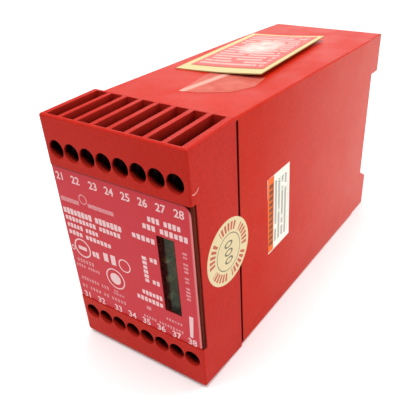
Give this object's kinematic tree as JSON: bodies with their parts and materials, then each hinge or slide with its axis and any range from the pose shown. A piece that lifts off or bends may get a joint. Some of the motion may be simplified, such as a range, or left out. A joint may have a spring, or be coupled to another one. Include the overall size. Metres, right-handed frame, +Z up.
{
  "type": "safety relay",
  "caption": "Deep moulded relay housing for a 35 mm rail, with a front cover of wire slots and driver holes, a labelled plate between them and rising clamp terminals inside.",
  "frame": {"origin": "centre of the device's footprint, on the plane of the cover's lower rear edge it stands on", "axes": "+Z up; +Y from the front plate back towards the mounting rail; +X to the right across the front"},
  "size_m": [0.0451, 0.12, 0.0733],
  "materials": {
    "case_red": "fine moulded texture",
    "block_red": "moulded",
    "smoked_plate": "smoked, clear",
    "print_film": "printed film",
    "label_white": "matt print",
    "label_cream": "matt print",
    "label_red": "matt print",
    "clear_film": "clear tape",
    "latch_black": "moulded",
    "spring_steel": "drawn wire",
    "zinc_steel": "zinc plated",
    "tinned_copper": "tinned",
    "board_green": "solder mask",
    "lamp_lens": "clear lens",
    "header_black": "moulded",
    "relay_white": "moulded",
    "core_steel": "laminated",
    "can_sleeve": "sleeved",
    "varistor_blue": "dipped",
    "fuse_glass": "glass tube"
  },
  "bodies": {
    "casing": {"front_cover": "case_red", "rear_housing": "case_red", "front_plate": "smoked_plate", "front_label": "print_film", "side_label": "label_white", "round_seal": "label_cream", "spare_label": "label_red", "spare_label_backing": "label_cream", "clear_tape": "clear_film", "latch_spring": "spring_steel", "upper_terminal_block": "block_red", "lower_terminal_block": "block_red", "upper_terminal_bars": "tinned_copper", "lower_terminal_bars": "tinned_copper", "terminal_board": "board_green", "relay_board": "board_green", "supply_board": "board_green", "display_board": "board_green", "status_lamps": "lamp_lens", "board_headers": "header_black", "relay_k1": "relay_white", "relay_k2": "relay_white", "transformer": "core_steel", "smoothing_capacitors": "can_sleeve", "surge_varistor": "varistor_blue", "supply_fuse": "fuse_glass"},
    "latch": {"latch_foot": "latch_black"},
    "upper_screw_1": {"upper_screw_1": "zinc_steel"},
    "upper_cage_1": {"upper_cage_1": "zinc_steel"},
    "upper_screw_2": {"upper_screw_2": "zinc_steel"},
    "upper_cage_2": {"upper_cage_2": "zinc_steel"},
    "upper_screw_3": {"upper_screw_3": "zinc_steel"},
    "upper_cage_3": {"upper_cage_3": "zinc_steel"},
    "upper_screw_4": {"upper_screw_4": "zinc_steel"},
    "upper_cage_4": {"upper_cage_4": "zinc_steel"},
    "upper_screw_5": {"upper_screw_5": "zinc_steel"},
    "upper_cage_5": {"upper_cage_5": "zinc_steel"},
    "upper_screw_6": {"upper_screw_6": "zinc_steel"},
    "upper_cage_6": {"upper_cage_6": "zinc_steel"},
    "upper_screw_7": {"upper_screw_7": "zinc_steel"},
    "upper_cage_7": {"upper_cage_7": "zinc_steel"},
    "upper_screw_8": {"upper_screw_8": "zinc_steel"},
    "upper_cage_8": {"upper_cage_8": "zinc_steel"},
    "lower_screw_1": {"lower_screw_1": "zinc_steel"},
    "lower_cage_1": {"lower_cage_1": "zinc_steel"},
    "lower_screw_2": {"lower_screw_2": "zinc_steel"},
    "lower_cage_2": {"lower_cage_2": "zinc_steel"},
    "lower_screw_3": {"lower_screw_3": "zinc_steel"},
    "lower_cage_3": {"lower_cage_3": "zinc_steel"},
    "lower_screw_4": {"lower_screw_4": "zinc_steel"},
    "lower_cage_4": {"lower_cage_4": "zinc_steel"},
    "lower_screw_5": {"lower_screw_5": "zinc_steel"},
    "lower_cage_5": {"lower_cage_5": "zinc_steel"},
    "lower_screw_6": {"lower_screw_6": "zinc_steel"},
    "lower_cage_6": {"lower_cage_6": "zinc_steel"},
    "lower_screw_7": {"lower_screw_7": "zinc_steel"},
    "lower_cage_7": {"lower_cage_7": "zinc_steel"},
    "lower_screw_8": {"lower_screw_8": "zinc_steel"},
    "lower_cage_8": {"lower_cage_8": "zinc_steel"}
  },
  "joints": [
    {"name": "latch_slide", "type": "slide", "parent": "casing", "child": "latch", "axis": [0, 0, -1], "range_m": [0, 0.0035], "stiffness_N_per_m": 800, "springref_m": -0.002, "deforming": ["latch_spring"]},
    {"name": "upper_screw_turn_1", "type": "hinge", "parent": "casing", "child": "upper_screw_1", "pos_m": [-0.01855, -0.0516, 0.0623], "axis": [0, 1, 0], "range_deg": [0, 1681]},
    {"name": "upper_cage_rise_1", "type": "slide", "parent": "casing", "child": "upper_cage_1", "axis": [0, -1, 0], "range_m": [0, 0.0021]},
    {"name": "upper_screw_turn_2", "type": "hinge", "parent": "casing", "child": "upper_screw_2", "pos_m": [-0.01325, -0.0516, 0.0623], "axis": [0, 1, 0], "range_deg": [0, 1681]},
    {"name": "upper_cage_rise_2", "type": "slide", "parent": "casing", "child": "upper_cage_2", "axis": [0, -1, 0], "range_m": [0, 0.0021]},
    {"name": "upper_screw_turn_3", "type": "hinge", "parent": "casing", "child": "upper_screw_3", "pos_m": [-0.00795, -0.0516, 0.0623], "axis": [0, 1, 0], "range_deg": [0, 1681]},
    {"name": "upper_cage_rise_3", "type": "slide", "parent": "casing", "child": "upper_cage_3", "axis": [0, -1, 0], "range_m": [0, 0.0021]},
    {"name": "upper_screw_turn_4", "type": "hinge", "parent": "casing", "child": "upper_screw_4", "pos_m": [-0.00265, -0.0516, 0.0623], "axis": [0, 1, 0], "range_deg": [0, 1681]},
    {"name": "upper_cage_rise_4", "type": "slide", "parent": "casing", "child": "upper_cage_4", "axis": [0, -1, 0], "range_m": [0, 0.0021]},
    {"name": "upper_screw_turn_5", "type": "hinge", "parent": "casing", "child": "upper_screw_5", "pos_m": [0.00265, -0.0516, 0.0623], "axis": [0, 1, 0], "range_deg": [0, 1681]},
    {"name": "upper_cage_rise_5", "type": "slide", "parent": "casing", "child": "upper_cage_5", "axis": [0, -1, 0], "range_m": [0, 0.0021]},
    {"name": "upper_screw_turn_6", "type": "hinge", "parent": "casing", "child": "upper_screw_6", "pos_m": [0.00795, -0.0516, 0.0623], "axis": [0, 1, 0], "range_deg": [0, 1681]},
    {"name": "upper_cage_rise_6", "type": "slide", "parent": "casing", "child": "upper_cage_6", "axis": [0, -1, 0], "range_m": [0, 0.0021]},
    {"name": "upper_screw_turn_7", "type": "hinge", "parent": "casing", "child": "upper_screw_7", "pos_m": [0.01325, -0.0516, 0.0623], "axis": [0, 1, 0], "range_deg": [0, 1681]},
    {"name": "upper_cage_rise_7", "type": "slide", "parent": "casing", "child": "upper_cage_7", "axis": [0, -1, 0], "range_m": [0, 0.0021]},
    {"name": "upper_screw_turn_8", "type": "hinge", "parent": "casing", "child": "upper_screw_8", "pos_m": [0.01855, -0.0516, 0.0623], "axis": [0, 1, 0], "range_deg": [0, 1681]},
    {"name": "upper_cage_rise_8", "type": "slide", "parent": "casing", "child": "upper_cage_8", "axis": [0, -1, 0], "range_m": [0, 0.0021]},
    {"name": "lower_screw_turn_1", "type": "hinge", "parent": "casing", "child": "lower_screw_1", "pos_m": [-0.01855, -0.0516, 0.0097], "axis": [0, 1, 0], "range_deg": [0, 1681]},
    {"name": "lower_cage_rise_1", "type": "slide", "parent": "casing", "child": "lower_cage_1", "axis": [0, -1, 0], "range_m": [0, 0.0021]},
    {"name": "lower_screw_turn_2", "type": "hinge", "parent": "casing", "child": "lower_screw_2", "pos_m": [-0.01325, -0.0516, 0.0097], "axis": [0, 1, 0], "range_deg": [0, 1681]},
    {"name": "lower_cage_rise_2", "type": "slide", "parent": "casing", "child": "lower_cage_2", "axis": [0, -1, 0], "range_m": [0, 0.0021]},
    {"name": "lower_screw_turn_3", "type": "hinge", "parent": "casing", "child": "lower_screw_3", "pos_m": [-0.00795, -0.0516, 0.0097], "axis": [0, 1, 0], "range_deg": [0, 1681]},
    {"name": "lower_cage_rise_3", "type": "slide", "parent": "casing", "child": "lower_cage_3", "axis": [0, -1, 0], "range_m": [0, 0.0021]},
    {"name": "lower_screw_turn_4", "type": "hinge", "parent": "casing", "child": "lower_screw_4", "pos_m": [-0.00265, -0.0516, 0.0097], "axis": [0, 1, 0], "range_deg": [0, 1681]},
    {"name": "lower_cage_rise_4", "type": "slide", "parent": "casing", "child": "lower_cage_4", "axis": [0, -1, 0], "range_m": [0, 0.0021]},
    {"name": "lower_screw_turn_5", "type": "hinge", "parent": "casing", "child": "lower_screw_5", "pos_m": [0.00265, -0.0516, 0.0097], "axis": [0, 1, 0], "range_deg": [0, 1681]},
    {"name": "lower_cage_rise_5", "type": "slide", "parent": "casing", "child": "lower_cage_5", "axis": [0, -1, 0], "range_m": [0, 0.0021]},
    {"name": "lower_screw_turn_6", "type": "hinge", "parent": "casing", "child": "lower_screw_6", "pos_m": [0.00795, -0.0516, 0.0097], "axis": [0, 1, 0], "range_deg": [0, 1681]},
    {"name": "lower_cage_rise_6", "type": "slide", "parent": "casing", "child": "lower_cage_6", "axis": [0, -1, 0], "range_m": [0, 0.0021]},
    {"name": "lower_screw_turn_7", "type": "hinge", "parent": "casing", "child": "lower_screw_7", "pos_m": [0.01325, -0.0516, 0.0097], "axis": [0, 1, 0], "range_deg": [0, 1681]},
    {"name": "lower_cage_rise_7", "type": "slide", "parent": "casing", "child": "lower_cage_7", "axis": [0, -1, 0], "range_m": [0, 0.0021]},
    {"name": "lower_screw_turn_8", "type": "hinge", "parent": "casing", "child": "lower_screw_8", "pos_m": [0.01855, -0.0516, 0.0097], "axis": [0, 1, 0], "range_deg": [0, 1681]},
    {"name": "lower_cage_rise_8", "type": "slide", "parent": "casing", "child": "lower_cage_8", "axis": [0, -1, 0], "range_m": [0, 0.0021]}
  ],
  "couplings": [
    {"joint": "upper_screw_turn_1", "follows": "upper_cage_rise_1", "rad_per_m": 13963},
    {"joint": "upper_screw_turn_2", "follows": "upper_cage_rise_2", "rad_per_m": 13963},
    {"joint": "upper_screw_turn_3", "follows": "upper_cage_rise_3", "rad_per_m": 13963},
    {"joint": "upper_screw_turn_4", "follows": "upper_cage_rise_4", "rad_per_m": 13963},
    {"joint": "upper_screw_turn_5", "follows": "upper_cage_rise_5", "rad_per_m": 13963},
    {"joint": "upper_screw_turn_6", "follows": "upper_cage_rise_6", "rad_per_m": 13963},
    {"joint": "upper_screw_turn_7", "follows": "upper_cage_rise_7", "rad_per_m": 13963},
    {"joint": "upper_screw_turn_8", "follows": "upper_cage_rise_8", "rad_per_m": 13963},
    {"joint": "lower_screw_turn_1", "follows": "lower_cage_rise_1", "rad_per_m": 13963},
    {"joint": "lower_screw_turn_2", "follows": "lower_cage_rise_2", "rad_per_m": 13963},
    {"joint": "lower_screw_turn_3", "follows": "lower_cage_rise_3", "rad_per_m": 13963},
    {"joint": "lower_screw_turn_4", "follows": "lower_cage_rise_4", "rad_per_m": 13963},
    {"joint": "lower_screw_turn_5", "follows": "lower_cage_rise_5", "rad_per_m": 13963},
    {"joint": "lower_screw_turn_6", "follows": "lower_cage_rise_6", "rad_per_m": 13963},
    {"joint": "lower_screw_turn_7", "follows": "lower_cage_rise_7", "rad_per_m": 13963},
    {"joint": "lower_screw_turn_8", "follows": "lower_cage_rise_8", "rad_per_m": 13963}
  ]
}
